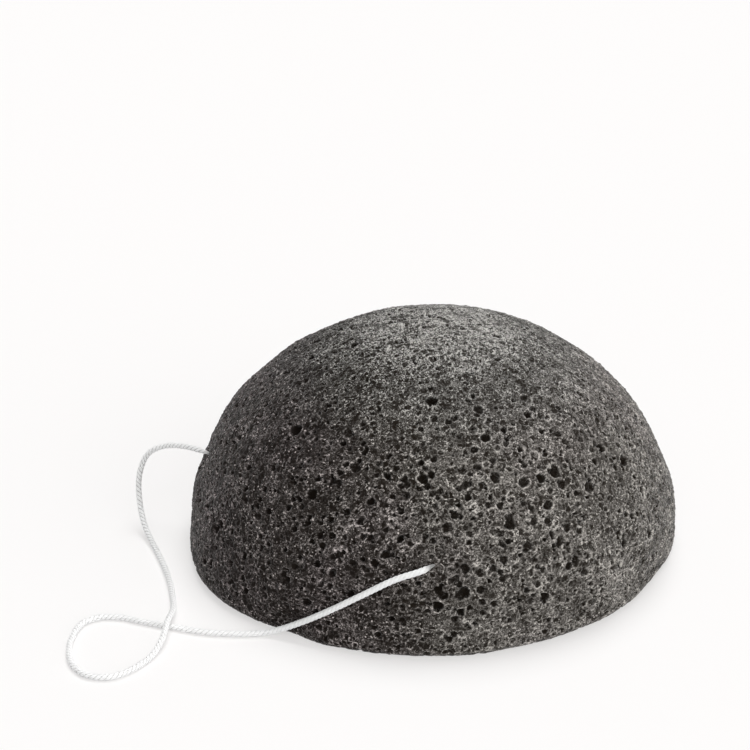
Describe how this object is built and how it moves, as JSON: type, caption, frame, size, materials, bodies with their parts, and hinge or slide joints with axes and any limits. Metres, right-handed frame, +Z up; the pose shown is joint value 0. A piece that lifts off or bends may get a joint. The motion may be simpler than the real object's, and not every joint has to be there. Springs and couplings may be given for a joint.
{
  "type": "konjac facial sponge",
  "caption": "Half-ball facial cleansing sponge of open-celled charcoal konjac foam on its flat face, with a thin twisted cotton string through it as a hanging loop.",
  "frame": {"origin": "centre of the sponge's flat face, on the surface that it stands on", "axes": "+Z up out of the flat face through the top of the dome; -Y towards the hole that the string leaves at the front; -X towards the hole at its side, where the string's loop lies"},
  "size_m": [0.097, 0.0865, 0.0385],
  "materials": {
    "foam": "matte",
    "cotton": "matte"
  },
  "bodies": {
    "sponge": {"sponge_body": "foam", "string_lead_front": "cotton", "string_lead_side": "cotton", "string_knot": "cotton", "knot_tail_front": "cotton", "knot_tail_side": "cotton"},
    "string": {"string_loop": "cotton"}
  },
  "joints": [
    {"name": "string_swing", "type": "hinge", "parent": "sponge", "child": "string", "pos_m": [-0.001, -0.037, 0.0145], "axis": [-0.6877, 0.726, 0], "range_deg": [0, 100]}
  ]
}
